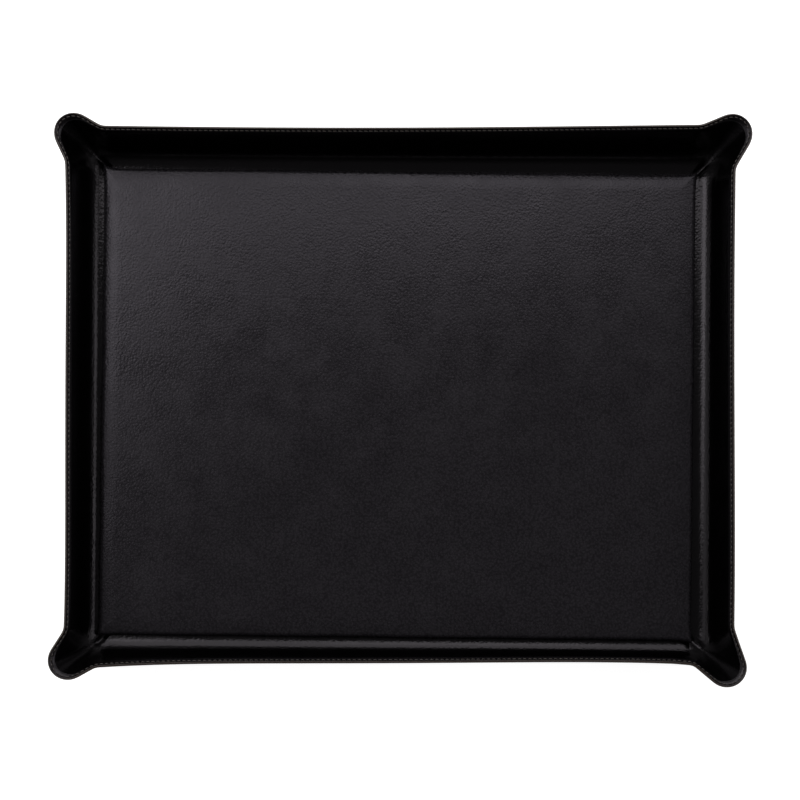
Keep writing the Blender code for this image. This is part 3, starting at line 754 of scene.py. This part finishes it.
def padRing(inset, height, s, folded=True):
    # one ring of the panel: its sides drawn in and a little uneven, its corners drawn out and gathered if folded
    line = padOutline(inset, s)
    x, y = line[:, 0], line[:, 1]
    nearX, nearY = s["halfX"] - np.abs(x), s["halfY"] - np.abs(y)
    fromCorner = np.hypot(nearX, nearY)
    fade = math.exp(-(inset / s["fade"]) ** 2)
    angle = np.arctan2(y, x)
    rng = np.random.default_rng(s["seed"])
    wander = sum(rng.uniform(0.3, 1.0) * np.sin(rng.integers(3, 26) * angle + rng.uniform(0, 2 * math.pi))
                 for wave in range(s["waves"]))
    drawn = s["drawnIn"] * smoothstep(np.maximum(nearX, nearY) / s["drawnReach"])
    pull = fade * (drawn - s["wander"] * wander / 4)
    rising = (height - s["bottom"]) / (s["top"] - s["bottom"])

    def crownAt(side, place):
        return np.interp(place, np.linspace(-1, 1, 5), s["crowns"][side])

    upX, upY = x / s["halfX"], y / s["halfY"]
    alongX = np.where(y > 0, crownAt("back", upX), crownAt("front", upX))
    alongY = np.where(x > 0, crownAt("right", upY), crownAt("left", upY))
    share = np.clip(nearY / (nearX + nearY + 1e-9), 0, 1)
    fall = alongY * share + alongX * (1 - share) - 1
    fall *= s["crown"] * max(0.0, 1 - inset / s["crownReach"]) ** 2 * rising
    tug = np.exp(-fromCorner / s["pointReach"]) * fade * rising * folded
    sideX = nearX < nearY
    signX, signY = np.sign(x), np.sign(y)
    pointX, pointY = (sum(out[k] * ((signX == sx) & (signY == sy))
                          for (sx, sy), out in s["points"].items()) * mm for k in range(2))
    x = signX * (np.abs(x) - np.where(sideX, pull, 0) + tug * pointX)
    y = signY * (np.abs(y) - np.where(sideX, 0, pull) + tug * pointY)
    off = np.abs(nearX - nearY) / math.sqrt(2)
    ridge = s["ridge"] * np.exp(-(off / s["ridgeWidth"]) ** 2) * np.exp(-(fromCorner / s["ridgeReach"]) ** 2)
    z = height - fall + (ridge * smoothstep(rising * 2 - 0.6) + s["pointLift"] * tug) * folded
    return np.column_stack([x, y, z])


def padSection(s, inset, bottom, top):
    # (inset, height) places round the under-edge, up a side, round the soft top edge and up the crown
    edgeTop, under = top - s["crown"], s["underRadius"]
    radius = min(s["edgeRadius"] - inset, edgeTop - bottom - under - s["upright"])
    radius = max(radius, s["leastRadius"])
    places = [(inset + under * (1 - math.sin(a)), bottom + under * (1 - math.cos(a))) for a in s["underAngles"]]
    for step in range(s["edgeSteps"] + 1):
        a = math.pi / 2 * step / s["edgeSteps"]
        places.append((inset + radius * (1 - math.cos(a)), edgeTop - radius * (1 - math.sin(a))))
    start = inset + radius
    for step in range(1, s["crownSteps"] + 1):
        share = step / s["crownSteps"]
        places.append((start + (s["crownReach"] - start) * share, top - s["crown"] * (1 - share) ** 2))
    return places


def makePad(material):
    s = padShape
    skin = s["skin"]
    inside = [padRing(i, z, s) for i, z in padSection(s, skin, s["bottom"] + skin, s["top"] - skin)]
    turned = [padRing(s["turnIn"], s["bottom"] + skin, s), padRing(s["turnIn"], s["bottom"], s)]
    outside = [padRing(i, z, s) for i, z in padSection(s, 0.0, s["bottom"], s["top"])]
    rings = [inside[-1] * (0.5, 0.5, 1)] + inside[::-1] + turned + outside
    rings += [outside[-1] * (0.9, 0.9, 1), outside[-1] * (0.5, 0.5, 1)]
    return makePlate("padCover", rings, s["turn"], s["centre"], material)


def makePadCore(boardFinish, foamFinish):
    s = padShape
    inset = s["skin"] + s["gap"]
    boardBottom = s["bottom"] + inset
    boardTop = boardBottom + s["board"]
    board = [padRing(inset, z, s, False) for z in (boardBottom, boardTop)]
    section = padSection(s, inset + s["underRadius"], boardTop + s["gap"], s["top"] - inset)
    foam = [padRing(i, z, s, False) for i, z in section]
    return (makePlate("padBoard", board, s["turn"], s["centre"], boardFinish),
            makePlate("padFoam", foam, s["turn"], s["centre"], foamFinish))


pad = makePad(padLeather)
padBoard, padFoam = makePadCore(greyBoardFinish, foamFinish)
print("pad made:", len(pad.data.polygons), "faces")

# The felt under the base, its edges a little soft
feltShape = {
    "halfX": 175.0 * mm,
    "halfY": 137.2 * mm,
    "corner": 6 * mm,
    "sections": ((0.3, 0.0), (0.05, 0.12), (0.0, 0.45), (0.05, 0.85), (0.35, 1.1)),  # inset and height, mm
}
feltRings = [roundedRing(feltShape["halfX"] - inset * mm, feltShape["halfY"] - inset * mm,
                         feltShape["corner"] - inset * mm, height * mm)
             for inset, height in feltShape["sections"]]
felt = makePlate("feltFoot", feltRings, trayShape["baseTurn"], trayShape["baseShift"], feltFinish)
print("felt made:", len(felt.data.polygons), "faces")

# White table, lit softly, that stays white to the camera and keeps the tray's shadow
tableSettings = {"size": 8.0, "colour": "#e9e9e9", "rough": 0.6, "lift": 0.9}


def makeTable(s):
    half = s["size"] / 2
    table = addPiece("table", [(-half, -half, 0), (half, -half, 0), (half, half, 0), (-half, half, 0)],
                     [(0, 1, 2, 3)], bpy.data.materials.new("matt white laminate"))
    material = table.data.materials[0]
    material.use_nodes = True
    tree = material.node_tree
    shader = tree.nodes["Principled BSDF"]
    shader.inputs["Base Color"].default_value = hexColour(s["colour"])
    shader.inputs["Roughness"].default_value = s["rough"]
    rays = addNode(tree, "ShaderNodeLightPath").outputs
    glow = addNode(tree, "ShaderNodeEmission", {"Color": (1, 1, 1, 1), "Strength": s["lift"]})
    both = addNode(tree, "ShaderNodeAddShader", links={0: shader.outputs[0], 1: glow.outputs[0]})
    mirrored = addNode(tree, "ShaderNodeMath", links={0: rays["Is Camera Ray"], 1: rays["Is Glossy Ray"]},
                       operation="MAXIMUM")
    shown = addNode(tree, "ShaderNodeMath", links={0: mirrored.outputs[0], 1: rays["Is Transmission Ray"]},
                    operation="MAXIMUM")
    seen = addNode(tree, "ShaderNodeMixShader",
                   links={0: shown.outputs[0], 1: shader.outputs[0], 2: both.outputs[0]})
    tree.links.new(seen.outputs[0], tree.nodes["Material Output"].inputs["Surface"])
    table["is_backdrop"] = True


makeTable(tableSettings)

# Soft studio light behind the tray and at its sides, as for a product shot from above
lampSettings = {  # azimuth from +X and lean from upright in degrees, size across and up in metres
    "large diffuser behind": {"azimuth": 99, "lean": 42, "away": 1.3, "size": (2.4, 1.0), "glow": 1.50},
    "softbox behind left": {"azimuth": 157, "lean": 37, "away": 1.3, "size": (0.67, 0.50), "glow": 1.60},
    "softbox behind": {"azimuth": 84, "lean": 32, "away": 1.3, "size": (0.50, 0.40), "glow": 0.70},
    "low softbox right": {"azimuth": 8, "lean": 58, "away": 1.3, "size": (0.91, 0.47), "glow": 1.30},
    "low softbox left": {"azimuth": 178, "lean": 56, "away": 1.3, "size": (0.93, 0.52), "glow": 0.60},
}
# The pale room round the set: its glow overhead and at the horizon, the heights (0 to 1) it changes between,
# and how much of it is left in front, where the photographer stands, with the Y it changes between
roomSettings = {"overhead": 0.13, "horizon": 1.05, "low": 0.04, "high": 0.40,
                "front": 0.2, "frontFrom": -0.95, "frontTo": -0.45}


def addLamp(name, s):
    lamp = bpy.data.lights.new(name, "AREA")
    lamp.shape = "RECTANGLE"
    lamp.size, lamp.size_y = s["size"]
    lamp.energy = s["glow"] * math.pi * lamp.size * lamp.size_y
    holder = bpy.data.objects.new(name, lamp)
    bpy.context.scene.collection.objects.link(holder)
    azimuth, lean = math.radians(s["azimuth"]), math.radians(s["lean"])
    way = (math.sin(lean) * math.cos(azimuth), math.sin(lean) * math.sin(azimuth), math.cos(lean))
    holder.location = [v * s["away"] for v in way]
    holder.rotation_euler = holder.location.to_track_quat("Z", "Y").to_euler()


def makeRoom(s):
    world = bpy.data.worlds.new("studio")
    world.use_nodes = True
    bpy.context.scene.world = world
    tree = world.node_tree
    way = addNode(tree, "ShaderNodeTexCoord").outputs["Generated"]
    way = addNode(tree, "ShaderNodeSeparateXYZ", links={0: way})
    upward = {"From Min": s["low"], "From Max": s["high"], "To Min": s["horizon"], "To Max": s["overhead"]}
    glow = addNode(tree, "ShaderNodeMapRange", upward, {"Value": way.outputs["Z"]}, interpolation_type="SMOOTHSTEP")
    backward = {"From Min": s["frontFrom"], "From Max": s["frontTo"], "To Min": s["front"], "To Max": 1.0}
    side = addNode(tree, "ShaderNodeMapRange", backward, {"Value": way.outputs["Y"]}, interpolation_type="SMOOTHSTEP")
    both = addNode(tree, "ShaderNodeMath", links={0: glow.outputs["Result"], 1: side.outputs["Result"]},
                   operation="MULTIPLY")
    tree.nodes["Background"].inputs["Color"].default_value = (1, 1, 1, 1)
    tree.links.new(both.outputs[0], tree.nodes["Background"].inputs["Strength"])


for name, settings in lampSettings.items():
    addLamp(name, settings)
makeRoom(roomSettings)

# Camera above the tray, upright over a point near its front edge, framed by shift so that nothing converges
cameraSettings = {
    "at": (14.0 * mm, -105.0 * mm, 700.0 * mm),
    "focal": 1141.0,  # in pixels, as are the place of the rim's centre and the frame
    "rimCentre": (400.1, 395.8),
    "frame": 800,
    "sensor": 36.0,  # mm
}


def addCamera(s):
    data = bpy.data.cameras.new("camera")
    data.sensor_width = s["sensor"]
    data.lens = s["focal"] * data.sensor_width / s["frame"]
    reach = s["focal"] / (s["at"][2] - trayShape["height"])
    data.shift_x = (0.5 * s["frame"] - s["rimCentre"][0] - s["at"][0] * reach) / s["frame"]
    data.shift_y = (s["rimCentre"][1] - s["at"][1] * reach - 0.5 * s["frame"]) / s["frame"]
    camera = bpy.data.objects.new("camera", data)
    camera.location = s["at"]
    bpy.context.scene.collection.objects.link(camera)
    bpy.context.scene.camera = camera


addCamera(cameraSettings)
bpy.context.scene.view_settings.view_transform = "Standard"

pieces = [(lining, "wall_leather", ["lining_leather"]), (outer, "wall_leather", ["outer_leather"]),
          (edge, "wall_leather", []), (insideStitches, "wall_leather", []), (outsideStitches, "wall_leather", []),
          (pad, "panel_leather", ["pad_leather"]), (padBoard, "grey_board", ["pad_board"]),
          (padFoam, "foam", ["pad_foam"]), (floorBoard, "leather_board", ["floor_board"]),
          (felt, "felt", ["base_felt"])]
pieces += [(piece, "leather_board", ["wall_stiffener_" + side]) for side, piece in wallBoards]
for piece, slot, nodes in pieces:
    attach(piece, "root")
    if nodes:
        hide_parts(*nodes)

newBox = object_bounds()
for title, box in (("source", cadBox), ("visual", newBox)):
    print(title, "box in mm:", [round(v / mm, 1) for v in box[1] - box[0]])
